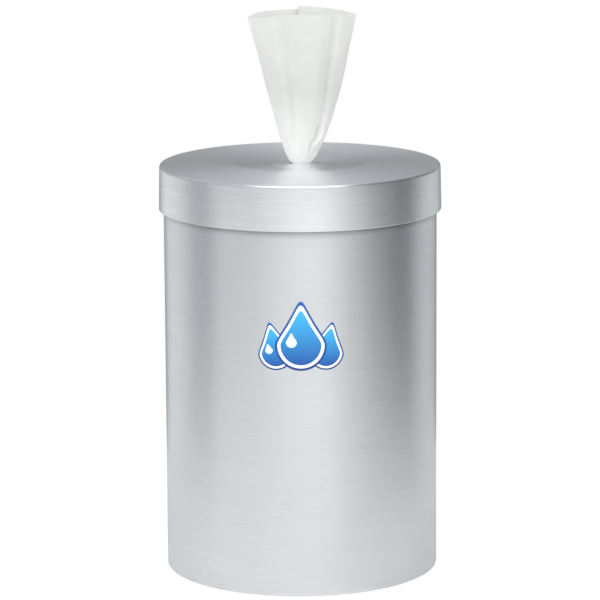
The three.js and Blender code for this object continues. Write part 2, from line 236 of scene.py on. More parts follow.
def place(
    name: str,
    mesh: bpy.types.Mesh,
    finish: bpy.types.Material,
    body: Body,
    slot: Slot,
    stands_for: tuple[str, ...] = (),
) -> bpy.types.Object:
    """Puts a finished mesh into the scene as a piece that rides on a body.

    Args:
        name: the piece's name.
        mesh: its mesh, in place.
        finish: its material.
        body: the body that it rides on.
        slot: the record's material slot; not used.
        stands_for: names of the frame's nodes that it is shown for.

    Returns:
        The piece.
    """
    mesh.materials.append(finish)
    piece = bpy.data.objects.new(name, mesh)
    bpy.context.scene.collection.objects.link(piece)
    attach(piece, body.value)
    if stands_for:
        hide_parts(*stands_for)
    log.info("%s: %d faces on %s", name, len(mesh.polygons), body.value)
    return piece


# Shader nodes


class NodeBench:
    """A node tree, with a short way to add nodes and wire them."""

    def __init__(self, tree: bpy.types.NodeTree) -> None:
        """Keeps the tree that nodes are added to."""
        self.tree = tree

    def feed(self, node: bpy.types.Node, inputs: dict[str | int, Value | Colour]) -> None:
        """Links an input to the socket that is given for it, or sets it to the value.

        Args:
            node: the node.
            inputs: socket name or index to a value, or to an output socket.
        """
        for key, value in inputs.items():
            if isinstance(value, bpy.types.NodeSocket):
                self.tree.links.new(value, node.inputs[key])
            else:
                node.inputs[key].default_value = value

    def add(
        self, kind: str, inputs: dict[str | int, Value | Colour] | None = None, **settings: object
    ) -> bpy.types.Node:
        """Adds a node.

        Args:
            kind: the node's type.
            inputs: socket name or index to a value, or to an output socket to link.
            settings: attributes of the node.

        Returns:
            The node.
        """
        node = self.tree.nodes.new(kind)
        for key, value in settings.items():
            setattr(node, key, value)
        self.feed(node, inputs or {})
        return node

    def math(
        self, operation: str, first: Value, second: Value = 0.0, third: Value = 0.0
    ) -> bpy.types.NodeSocket:
        """The result of one Math node on values or sockets."""
        return self.add("ShaderNodeMath", {0: first, 1: second, 2: third}, operation=operation).outputs[0]

    def blend(self, share: Value, low: Value | Colour, high: Value | Colour) -> bpy.types.NodeSocket:
        """A colour between low and high, by a share from 0 to 1."""
        return self.add("ShaderNodeMix", {0: share, 6: low, 7: high}, data_type="RGBA").outputs[2]

    def spread(
        self, value: Value, low: float, high: float, to_low: float, to_high: float
    ) -> bpy.types.NodeSocket:
        """A value moved from one range to another, held at the ends."""
        inputs = {0: value, 1: low, 2: high, 3: to_low, 4: to_high}
        return self.add("ShaderNodeMapRange", inputs).outputs[0]

    def coordinates(self, kind: str = "Object") -> bpy.types.NodeSocket:
        """The coordinates of the named kind."""
        return self.add("ShaderNodeTexCoord").outputs[kind]

    def height(self) -> bpy.types.NodeSocket:
        """The height above the bench, read from the Object coordinates."""
        return self.add("ShaderNodeSeparateXYZ", {0: self.coordinates()}).outputs[2]

    def noise(self, at: bpy.types.NodeSocket, scale: Value, detail: float = 2.0) -> bpy.types.NodeSocket:
        """Noise from 0 to 1 at a place."""
        inputs = {"Vector": at, "Scale": scale, "Detail": detail}
        return self.add("ShaderNodeTexNoise", inputs).outputs[0]

    def bump(self, height: bpy.types.NodeSocket, relief: float, depth: float) -> bpy.types.NodeSocket:
        """The normal of a surface that rises by depth where height is 1, weighted by relief."""
        inputs = {"Height": height, "Strength": relief, "Distance": depth}
        return self.add("ShaderNodeBump", inputs).outputs[0]


def rgb(red: float, green: float, blue: float) -> Colour:
    """The linear colour that shaders take, from screen values.

    Args:
        red: red from 0 to 255.
        green: green from 0 to 255.
        blue: blue from 0 to 255.

    Returns:
        Linear red, green, blue and an alpha of 1.
    """
    value = np.array([red, green, blue]) / 255.0
    linear = np.where(value <= 0.04045, value / 12.92, ((value + 0.055) / 1.055) ** 2.4)
    return (*map(float, linear), 1.0)


def new_material(name: str) -> tuple[bpy.types.Material, NodeBench, bpy.types.Node]:
    """A new material with nodes.

    Args:
        name: its name.

    Returns:
        The material, a bench on its tree, and its Principled shader.
    """
    made = bpy.data.materials.new(name)
    made.use_nodes = True
    return made, NodeBench(made.node_tree), made.node_tree.nodes["Principled BSDF"]


def new_group(
    name: str, numbers: dict[str, float], outputs: tuple[str, ...]
) -> tuple[bpy.types.NodeTree, NodeBench]:
    """An empty shader node group.

    Args:
        name: its name.
        numbers: its number inputs, with their usual values.
        outputs: its number outputs.

    Returns:
        The group and a bench on it.
    """
    group = bpy.data.node_groups.new(name, "ShaderNodeTree")
    for label, usual in numbers.items():
        socket = group.interface.new_socket(name=label, in_out="INPUT", socket_type="NodeSocketFloat")
        socket.default_value = usual
    for label in outputs:
        group.interface.new_socket(name=label, in_out="OUTPUT", socket_type="NodeSocketFloat")
    return group, NodeBench(group)


def brushing_group() -> bpy.types.NodeTree:
    """Brush lines that run round the Z axis, on walls and on flat ends alike.

    Noise is read at (x/r, y/r) * Spread and (z + r) * Fineness, so it changes slowly round
    the axis and fast along the axis or outwards. Two sizes of line are added up.

    Returns:
        The group, with the outputs Lines and Cloud, and Radius, the distance from the axis.
    """
    numbers = {"Spread": 2.6, "Fineness": 1300.0}
    group, bench = new_group("brushing", numbers, ("Lines", "Cloud", "Radius"))
    given = bench.add("NodeGroupInput")
    point = bench.coordinates()
    x, y, z = bench.add("ShaderNodeSeparateXYZ", {0: point}).outputs
    squares = bench.math("ADD", bench.math("MULTIPLY", x, x), bench.math("MULTIPLY", y, y))
    radius = bench.math("SQRT", squares)
    safe = bench.math("MAXIMUM", radius, NEXT_TO_AXIS)
    outward = bench.math("ADD", z, radius)

    def lines(spread_by: float, fine_by: float) -> bpy.types.NodeSocket:
        """One size of line.

        Args:
            spread_by: share of Spread that it takes.
            fine_by: share of Fineness that it takes.

        Returns:
            Noise from 0 to 1.
        """
        spread = bench.math("MULTIPLY", given.outputs["Spread"], spread_by)
        fine = bench.math("MULTIPLY", given.outputs["Fineness"], fine_by)
        across = bench.math("MULTIPLY", bench.math("DIVIDE", x, safe), spread)
        along = bench.math("MULTIPLY", bench.math("DIVIDE", y, safe), spread)
        up = bench.math("MULTIPLY", outward, fine)
        at = bench.add("ShaderNodeCombineXYZ", {0: across, 1: along, 2: up}).outputs[0]
        return bench.noise(at, 1.0)

    fine_share, coarse_share, cloud_scale = 0.6, 0.4, 22.0
    fine_lines = bench.math("MULTIPLY", lines(1.0, 1.0), fine_share)
    coarse_lines = bench.math("MULTIPLY", lines(0.45, 0.3), coarse_share)
    total = bench.math("ADD", fine_lines, coarse_lines)
    shown = bench.spread(total, *NOISE_RANGE, 0.0, 1.0)
    cloud = bench.noise(point, cloud_scale, 3.0)
    bench.add("NodeGroupOutput", {"Lines": shown, "Cloud": cloud, "Radius": radius})
    return group


def grain_group() -> bpy.types.NodeTree:
    """Fine speckle on Object coordinates, from noise of two sizes, for moulded surfaces.

    Returns:
        The group, with the output Grain.
    """
    group, bench = new_group("grain", {"Scale": 1200.0}, ("Grain",))
    scale = bench.add("NodeGroupInput").outputs["Scale"]
    point = bench.coordinates()
    fine_share, coarse_share, coarse_scale = 0.6, 0.4, 0.12
    fine = bench.noise(point, scale)
    coarse = bench.noise(point, bench.math("MULTIPLY", scale, coarse_scale))
    total = bench.math("MULTIPLY_ADD", fine, fine_share, bench.math("MULTIPLY", coarse, coarse_share))
    bench.add("NodeGroupOutput", {"Grain": bench.spread(total, *NOISE_RANGE, 0.0, 1.0)})
    return group


# Finishes


@dataclass(frozen=True)
class BrushedMetal:
    """Aluminium brushed round its axis, so that lights smear into bands along the axis."""

    name: str
    light: Colour
    dark: Colour
    roughness: float
    anisotropy: float
    spread: float = 2.6
    fineness: float = 1300.0
    relief: float = 0.05
    line_depth: float = 0.1 * MM
    dull: float = 0.05
    bright: float = 0.04
    cloud_share: float = 0.25
    corner_shade: float = 0.0
    corner_reach: float = 6.0 * MM
    corner_samples: int = 12
    shade_from: float = 20.0 * MM
    shade_full: float = 50.0 * MM
    # Inside disc_radius the colour is painted darker: painted shade for the sloping dish.
    disc_radius: float = 0.0
    disc_edge: float = 0.4 * MM
    dish_shade_tone: float = 1.0

    def material(self, brushing: bpy.types.NodeTree) -> bpy.types.Material:
        """The material, with the brushing group placed in it.

        Tight corners are darkened by the ambient occlusion within corner_reach, a painted shade,
        to the power of corner_shade, which fades in with height from shade_from to shade_full.
        Inside disc_radius the metal is painted a little darker: painted shade for the sloping dish.

        Args:
            brushing: the group of brush lines.

        Returns:
            The material.
        """
        made, bench, shader = new_material(self.name)
        brush = bench.add("ShaderNodeGroup", node_tree=brushing)
        brush.inputs["Spread"].default_value = self.spread
        brush.inputs["Fineness"].default_value = self.fineness
        lines, cloud = brush.outputs["Lines"], brush.outputs["Cloud"]
        clouded = bench.math("MULTIPLY", cloud, self.cloud_share)
        mixed = bench.math("MULTIPLY_ADD", lines, 1 - self.cloud_share, clouded)
        streaked = bench.blend(mixed, self.dark, self.light)
        open_sky = bench.add(
            "ShaderNodeAmbientOcclusion", {"Distance": self.corner_reach}, samples=self.corner_samples
        ).outputs["AO"]
        shade = bench.spread(bench.height(), self.shade_from, self.shade_full, 0.0, self.corner_shade)
        edge_in, edge_out = self.disc_radius - self.disc_edge, self.disc_radius + self.disc_edge
        inside = bench.spread(brush.outputs["Radius"], edge_in, edge_out, 1.0, 0.0)
        # Painted shade: the colour is darker inside the dish.
        painted_dish_shade = bench.spread(inside, 0.0, 1.0, 1.0, self.dish_shade_tone)
        share = bench.math("MULTIPLY", bench.math("POWER", open_sky, shade), painted_dish_shade)
        dull, bright = self.roughness + self.dull, self.roughness - self.bright
        looks = {
            "Base Color": bench.blend(share, BLACK, streaked),
            "Roughness": bench.spread(lines, 0.0, 1.0, dull, bright),
            "Normal": bench.bump(lines, self.relief, self.line_depth),
            "Tangent": bench.add("ShaderNodeTangent", direction_type="RADIAL", axis="Z").outputs[0],
        }
        bench.feed(shader, looks)
        shader.inputs["Metallic"].default_value = 1.0
        shader.inputs["Anisotropic"].default_value = self.anisotropy
        shader.inputs["Anisotropic Rotation"].default_value = 0.25
        return made


@dataclass(frozen=True)
class Moulded:
    """Plastic, rubber or foam with a fine grain."""

    name: str
    light: Colour
    dark: Colour
    roughness: float
    scale: float = 1200.0
    relief: float = 0.2
    depth: float = 0.1 * MM
    polish: float = 0.06
    transmission: float = 0.0

    def material(self, grain: bpy.types.NodeTree) -> bpy.types.Material:
        """The material. Its roughness goes up and down by polish with the grain.

        Args:
            grain: the group of speckle.

        Returns:
            The material.
        """
        made, bench, shader = new_material(self.name)
        speckle = bench.add("ShaderNodeGroup", node_tree=grain)
        speckle.inputs["Scale"].default_value = self.scale
        height = speckle.outputs["Grain"]
        dull, smooth = self.roughness + self.polish, self.roughness - self.polish
        looks = {
            "Base Color": bench.blend(height, self.dark, self.light),
            "Roughness": bench.spread(height, 0.0, 1.0, dull, smooth),
            "Normal": bench.bump(height, self.relief, self.depth),
        }
        bench.feed(shader, looks)
        shader.inputs["Transmission Weight"].default_value = self.transmission
        return made


@dataclass(frozen=True)
class Nonwoven:
    """Moist spunlaced cloth: slanted embossed ribs and loose fibres, read from its flat UV map.

    It is painted whitest where it is gathered, below gathered_to, and a little greyer above
    loose_from, painted shade where one layer of it stands alone. The share lets_through of it is
    a translucent shader, so that light from behind shows in a single layer.
    """

    name: str
    light: Colour
    dark: Colour
    rib_pitch: float = 1.1 * MM
    rib_slant: float = 56.0
    rib_waver: float = 1.6
    waves_per_scale: float = 3.18
    rib_height: float = 0.5
    fibre_scale: float = 2600.0
    fibre_height: float = 0.6
    cloud_scale: float = 90.0
    relief: float = 0.35
    depth: float = 0.25 * MM
    smoothest: float = 0.78
    roughest: float = 0.92
    sheen: float = 0.15
    # From gathered_to up to loose_from the cloth is painted darker: painted shade for the single layer.
    gathered_to: float = 0.318
    loose_from: float = 0.362
    loose_shade_tone: float = 0.77
    lets_through: float = 0.28

    def material(self) -> bpy.types.Material:
        """The material. The UV map holds the place on the flat cloth in metres.

        Returns:
            The material.
        """
        made, bench, shader = new_material(self.name)
        flat = bench.coordinates("UV")
        slant = {"Vector": flat, "Rotation": (0.0, 0.0, math.radians(self.rib_slant))}
        emboss = {
            "Vector": bench.add("ShaderNodeMapping", slant).outputs[0],
            "Scale": 1.0 / self.rib_pitch / self.waves_per_scale,
            "Distortion": self.rib_waver,
            "Detail": 2.0,
            "Detail Scale": 1.4,
        }
        ribs = bench.add("ShaderNodeTexWave", emboss).outputs["Fac"]
        fibres = bench.noise(flat, self.fibre_scale, 3.0)
        cloud = bench.noise(flat, self.cloud_scale, 3.0)
        fuzz = bench.math("MULTIPLY", fibres, self.fibre_height)
        height = bench.math("MULTIPLY_ADD", ribs, self.rib_height, fuzz)
        tone = bench.math("MULTIPLY_ADD", height, 0.5, bench.math("MULTIPLY", cloud, 0.5))
        embossed = bench.blend(bench.spread(tone, 0.25, 0.75, 0.0, 1.0), self.dark, self.light)
        # Painted shade: the cloth is darkened with height, above loose_from.
        gathered = bench.spread(bench.height(), self.gathered_to, self.loose_from, 1.0, self.loose_shade_tone)
        tone_and_shade = bench.blend(gathered, BLACK, embossed)
        normal = bench.bump(height, self.relief, self.depth)
        rough = bench.spread(fibres, *NOISE_RANGE, self.smoothest, self.roughest)
        bench.feed(shader, {"Base Color": tone_and_shade, "Roughness": rough, "Normal": normal})
        shader.inputs["Sheen Weight"].default_value = self.sheen
        through = bench.add("ShaderNodeBsdfTranslucent", {"Color": tone_and_shade, "Normal": normal}).outputs[0]
        layers = {0: self.lets_through, 1: shader.outputs[0], 2: through}
        both = bench.add("ShaderNodeMixShader", layers).outputs[0]
        bench.feed(made.node_tree.nodes["Material Output"], {"Surface": both})
        return made


@dataclass(frozen=True)
class ClearFilm:
    """Thin clear film with fine creases, a little whiter and denser along them."""

    name: str
    clear: Colour = (0.8, 0.86, 0.9, 1)
    creased: Colour = (0.95, 0.97, 0.98, 1)
    alpha: float = 0.3
    crease_alpha: float = 0.55
    crease_width: float = 0.03
    crease_scale: tuple[float, float, float] = (60.0, 60.0, 14.0)
    relief: float = 0.6
    depth: float = 2.0 * MM
    roughness: float = 0.18

    def material(self) -> bpy.types.Material:
        """The material. Creases are veins of a stretched noise on Object coordinates.

        Returns:
            The material.
        """
        made, bench, shader = new_material(self.name)
        stretch = {"Vector": bench.coordinates(), "Scale": self.crease_scale}
        veins = bench.noise(bench.add("ShaderNodeMapping", stretch).outputs[0], 1.0, 5.0)
        off_vein = bench.math("ABSOLUTE", bench.math("SUBTRACT", veins, 0.5))
        white = bench.spread(off_vein, 0.0, self.crease_width, 1.0, 0.0)
        looks = {
            "Base Color": bench.blend(white, self.clear, self.creased),
            "Alpha": bench.spread(white, 0.0, 1.0, self.alpha, self.crease_alpha),
            "Normal": bench.bump(veins, self.relief, self.depth),
        }
        bench.feed(shader, looks)
        shader.inputs["Roughness"].default_value = self.roughness
        return made


@dataclass(frozen=True)
class Ink:
    """Printed ink that runs from one colour to another up the print."""

    name: str
    low: Colour
    high: Colour
    bottom: float
    top: float
    grain_scale: float = 3000.0
    smoothest: float = 0.3
    roughest: float = 0.42

    def material(self) -> bpy.types.Material:
        """The material: the share of the way from bottom to top mixes the two colours.

        Returns:
            The material.
        """
        made, bench, shader = new_material(self.name)
        share = bench.spread(bench.height(), self.bottom, self.top, 0.0, 1.0)
        grain = bench.noise(bench.coordinates(), self.grain_scale)
        rough = bench.spread(grain, *NOISE_RANGE, self.smoothest, self.roughest)
        bench.feed(shader, {"Base Color": bench.blend(share, self.low, self.high), "Roughness": rough})
        return made


class Finishes:
    """Every finish of the dispenser, with the node groups that they share."""

    def __init__(self) -> None:
        """Builds the groups once and the materials from them."""
        brushing, grain = brushing_group(), grain_group()
        self.wall = BrushedMetal(
            "brushed wall",
            light=rgb(237, 239, 241),
            dark=rgb(229, 231, 234),
            roughness=0.38,
            anisotropy=0.8,
            spread=4.0,
            fineness=2100.0,
            corner_shade=2.0,
        ).material(brushing)
        self.cap = BrushedMetal(
            "brushed cap",
            light=rgb(253, 254, 255),
            dark=rgb(235, 238, 241),
            roughness=0.36,
            anisotropy=0.83,
            spread=4.0,
            fineness=2100.0,
            relief=0.16,
            # The dish is painted darker: painted shade for its sloping surface.
            disc_radius=49.8 * MM,
            dish_shade_tone=0.92,
        ).material(brushing)
        self.collar = BrushedMetal(
            "turned collar",
            light=rgb(246, 247, 248),
            dark=rgb(236, 238, 240),
            roughness=0.46,
            anisotropy=0.7,
        ).material(brushing)
        self.rubber = Moulded(
            "black rubber", light=rgb(52, 53, 55), dark=rgb(34, 35, 37), roughness=0.75
        ).material(grain)
        self.foam = Moulded(
            "grey foam",
            light=rgb(84, 87, 90),
            dark=rgb(52, 54, 57),
            roughness=0.9,
            scale=900,
            relief=0.6,
            depth=0.4 * MM,
        ).material(grain)
        self.plastic = Moulded(
            "grey plastic", light=rgb(164, 168, 171), dark=rgb(150, 154, 158), roughness=0.45
        ).material(grain)
        self.silicone = Moulded(
            "silicone",
            light=rgb(226, 230, 231),
            dark=rgb(214, 219, 221),
            roughness=0.3,
            transmission=0.35,
        ).material(grain)
        self.cloth = Nonwoven("moist cloth", rgb(249, 249, 247), rgb(235, 237, 234)).material()
        self.film = ClearFilm("clear film").material()


# Sub-assemblies


@dataclass
class Canister:
    """The spun shell on its rubber feet. Sizes are in millimetres."""

    wall: float = 1.2
    corner: float = 1.4
    ring_width: float = 11.0
    recess: float = 3.0
    step_run: float = 1.5
    radius: float = 101.6
    feet: int = 4
    foot_edge: float = 0.8
    foot_top_edge: float = 0.3

    def __post_init__(self) -> None:
        """Reads the shell's base, top and bead from the frame."""
        low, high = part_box("canister")
        self.floor = low.z / MM
        self.bead_outer = high.x / MM
        self.top = high.z / MM

    def build(self, finishes: Finishes) -> None:
        """Makes the shell and the feet, and dresses them.

        Args:
            finishes: the finishes.
        """
        mesh = turned_mesh("canister_shell", self.profile() * MM, around=320)
        place("canister_shell", mesh, finishes.wall, Body.CANISTER, Slot.METAL, ("canister",))
        for number in range(1, self.feet + 1):
            self.foot(number, finishes)

    def profile(self) -> np.ndarray:
        """The shell's section: base panel, step, ring, corner, wall, bead and the inside back down.

        Returns:
            The closed outline, anticlockwise, in millimetres.
        """
        inner = self.radius - self.wall
        bead = (self.bead_outer - inner) / 2
        bead_at = (inner + bead, self.top - bead)
        meet = math.degrees(math.acos((self.radius - bead_at[0]) / bead))
        turn_at = (self.radius - self.corner, self.floor + self.corner)
        panel = self.radius - self.corner - self.ring_width
        step = panel - self.step_run
        under, floor = self.floor + self.recess, self.floor
        lead, lean, drop, inset = 1.0, 0.4, 0.8, 0.6
        from_panel = bend((step - lead, under), (step, under), (step + lean, under - drop))
        to_ring = bend((panel - lean, floor + drop), (panel, floor), (panel + lead, floor))
        inside = np.vstack([from_panel, to_ring])[::-1] + (inset, self.wall)
        return np.vstack(
            [
                line((0, under), (step - lead, under)),
                from_panel,
                to_ring,
                arc(turn_at, self.corner, -90, 0),
                line((self.radius, self.top - 3 * bead)),
                arc(bead_at, bead, -meet, 180, 16),
                arc(turn_at, self.corner - self.wall, 0, -90),
                inside,
                line((0, under + self.wall)),
            ]
        )

    def foot(self, number: int, finishes: Finishes) -> None:
        """One stick-on foot: a low turned pad with a rounded lower edge, moved to its node's place.

        Args:
            number: which of the feet.
            finishes: the finishes.
        """
        low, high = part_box(f"foot_{number}")
        radius, tall = (high.y - low.y) / 2, high.z - low.z
        edge, top_edge = self.foot_edge * MM, self.foot_top_edge * MM
        profile = np.vstack(
            [
                line((0, 0), (radius - edge, 0)),
                arc((radius - edge, edge), edge, -90, 0, 6),
                arc((radius - top_edge, tall - top_edge), top_edge, 0, 90, 3),
                line((0, tall)),
            ]
        )
        mesh = turned_mesh(f"foot_pad_{number}", profile, around=64)
        mesh.transform(Matrix.Translation(((low.x + high.x) / 2, (low.y + high.y) / 2, low.z)))
        stands_for = (f"foot_{number}",)
        place(f"foot_pad_{number}", mesh, finishes.rubber, Body.CANISTER, Slot.RUBBER, stands_for)


@dataclass
class Lid:
    """The spun cap with its gasket. Sizes are in millimetres."""

    wall: float = 1.2
    shoulder_radius: float = 2.0
    shoulder_end: float = 88.0
    inner_turn: float = 2.2
    skirt_draft: float = 0.6
    crown_rise: float = 1.4
    dish_radius: float = 49.8
    dish_lip: float = 0.6
    dish_floor_radius: float = 29.5
    dish_depth: float = 1.8
    seat_radius: float = 22.72
    seat_depth: float = 1.5
    seat_edge: float = 0.25
    hole_radius: float = 16.9
    gasket_width: float = 4.2
    gasket_edge: float = 0.4

    def __post_init__(self) -> None:
        """Reads the cap's radius, rim and crown from the frame."""
        low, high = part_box("lid")
        self.radius = high.x / MM
        self.rim = low.z / MM
        self.crown = high.z / MM

    def build(self, finishes: Finishes) -> None:
        """Makes the cap and the gasket, and dresses them.

        Args:
            finishes: the finishes.
        """
        mesh = turned_mesh("lid_cap", self.profile() * MM, around=320, sharp=40)
        place("lid_cap", mesh, finishes.cap, Body.LID, Slot.METAL, ("lid",))
        self.gasket(finishes)

    def profile(self) -> np.ndarray:
        """The cap's section: dish and crown on the underside, skirt with a rounded lip, and the top.

        The outside of the skirt leans in by skirt_draft on its way up from the lip.

        Returns:
            The closed outline, anticlockwise, in millimetres.
        """
        lip = self.wall / 2
        shoulder = self.crown - self.crown_rise
        turn_at = (self.radius - self.skirt_draft - self.shoulder_radius, shoulder - self.shoulder_radius)
        inner_edge = self.radius - self.wall - self.inner_turn
        inner_at = (inner_edge, shoulder - self.wall - self.inner_turn)
        dish = self.crown - self.dish_depth
        seat = dish - self.seat_depth
        mid_dish = (self.dish_radius + self.dish_floor_radius) / 2
        mid_top = (turn_at[0] + self.dish_radius) / 2
        under, nudge = self.wall, 0.01
        seat_edge = (self.seat_radius + self.seat_edge, dish - self.seat_edge)
        return np.vstack(
            [
                line((self.hole_radius, seat - under), (self.seat_radius + under, seat - under)),
                line((self.seat_radius + under, dish - under), (self.dish_floor_radius, dish - under)),
                bend(
                    (self.dish_floor_radius + nudge, dish - under),
                    (mid_dish, dish - under),
                    (self.dish_radius, self.crown - under),
                ),
                bend(
                    (self.dish_radius + nudge, self.crown - under),
                    (mid_top, self.crown - under),
                    (inner_edge, shoulder - under),
                ),
                arc(inner_at, self.inner_turn, self.shoulder_end, 0),
                arc((self.radius - lip, self.rim + lip), lip, 180, 360, 12),
                arc(turn_at, self.shoulder_radius, 0, self.shoulder_end, 14),
                bend(
                    (turn_at[0], shoulder),
                    (mid_top, self.crown),
                    (self.dish_radius + self.dish_lip, self.crown),
                ),
                bend(
                    (self.dish_radius - 0.2, self.crown - 0.03),
                    (mid_dish, dish),
                    (self.dish_floor_radius, dish),
                ),
                arc(seat_edge, self.seat_edge, 90, 180, 4),
                line((self.seat_radius, seat), (self.hole_radius, seat)),
            ]
        )

    def gasket(self, finishes: Finishes) -> None:
        """The foam ring under the lid, a flat ring with soft lower edges.

        Args:
            finishes: the finishes.
        """
        low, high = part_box("lid_gasket")
        outer, thick = high.x, high.z - low.z
        inner, soft = outer - self.gasket_width * MM, self.gasket_edge * MM
        profile = np.vstack(
            [
                arc((inner + soft, low.z + soft), soft, 180, 270, 4),
                arc((outer - soft, low.z + soft), soft, 270, 360, 4),
                line((outer, low.z + thick), (inner, low.z + thick)),
            ]
        )
        mesh = turned_mesh("gasket_ring", profile, around=192)
        place("gasket_ring", mesh, finishes.foam, Body.LID, Slot.FOAM, ("lid_gasket",))


@dataclass
class Nozzle:
    """The turned collar, with the valve and the ring nut as the frame has them. Millimetres."""

    throat: float = 7.3
    lip: float = 1.6
    flange_edge: float = 1.2
    flange_round: float = 0.3
    flange_rise: float = 0.9
    spigot: float = 16.6
    spigot_wall: float = 3.0
    seat_drop: float = 5.6
    petal_root: float = 11.1
    petal_rise: float = 1.8
    petal_thickness: float = 1.0

    def __post_init__(self) -> None:
        """Reads the collar's flange, top and bottom from the frame."""
        low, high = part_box("nozzle_collar")
        self.flange = high.x / MM
        self.top = high.z / MM
        self.bottom = low.z / MM

    def build(self, finishes: Finishes) -> None:
        """Makes the collar, and dresses the valve and the nut.

        Args:
            finishes: the finishes.
        """
        mesh = turned_mesh("collar", self.profile() * MM, around=160)
        place("collar", mesh, finishes.collar, Body.LID, Slot.METAL, ("nozzle_collar",))
        for node, finish in (("slit_valve", finishes.silicone), ("ring_nut", finishes.plastic)):
            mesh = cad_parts[node].data
            mesh.materials.clear()
            mesh.materials.append(finish)
            log.info("%s: dressed as it is", node)

    def profile(self) -> np.ndarray:
        """The collar's section: seat for the valve, spigot, flange and a rounded throat.

        Returns:
            The closed outline, anticlockwise, in millimetres.
        """
        seat = self.top - self.seat_drop
        bore = self.spigot - self.spigot_wall
        edge = self.flange_round
        lip_at = (self.throat + self.lip, self.top - self.lip)
        flange_under = self.top - self.flange_rise - self.flange_edge
        return np.vstack(
            [
                line((self.throat, seat + self.petal_rise + self.petal_thickness)),
                line((self.petal_root, seat), (bore, seat), (bore, self.bottom)),
                line((self.spigot, self.bottom), (self.spigot, flange_under)),
                line((self.flange, flange_under)),
                arc((self.flange - edge, flange_under + self.flange_edge - edge), edge, 0, 90, 5),
                bend(
                    (self.flange - edge - 0.2, flange_under + self.flange_edge),
                    ((self.flange + lip_at[0]) / 2, self.top),
                    (lip_at[0] + 0.3, self.top),
                ),
                arc(lip_at, self.lip, 90, 180, 10),
            ]
        )


@dataclass(frozen=True)
class Crumple:
    """A short crumple low on the right of the wipe's front.

    Depths and heights are in millimetres, places and widths round the section in turns.
    """

    middle: float = 17.0
    reach: float = 12.0
    place: float = 0.568
    kink: float = 0.04
    kink_from: float = 12.0
    kink_over: float = 9.0
    fold_depth: float = 2.3
    fold_width: float = 0.011
    bulge_depth: float = 1.9
    bulge_width: float = 0.024
    bulge_beside: float = 0.034

    def depth(self, turn: np.ndarray, height: np.ndarray) -> np.ndarray:
        """How far it draws the cloth in: a sharp fold with a kink, less a bulge beside it.

        Each is a bell, exp(-(distance / width)^2), across the cloth and along its height. The
        kink moves both aside by a smooth step, k^2 (3 - 2 k), on the way up.

        Args:
            turn: how far round each point is, from 0 to 1.
            height: heights above the throat.

        Returns:
            An array like turn.
        """
        step = np.clip((height - self.kink_from) / self.kink_over, 0, 1)
        beside = turn - (self.place + self.kink * step * step * (3 - 2 * step))
        along = np.exp(-(((height - self.middle) / self.reach) ** 2))
        fold = self.fold_depth * np.exp(-((beside / self.fold_width) ** 2))
        bulge = self.bulge_depth * np.exp(-(((beside - self.bulge_beside) / self.bulge_width) ** 2))
        return along * (fold - bulge)


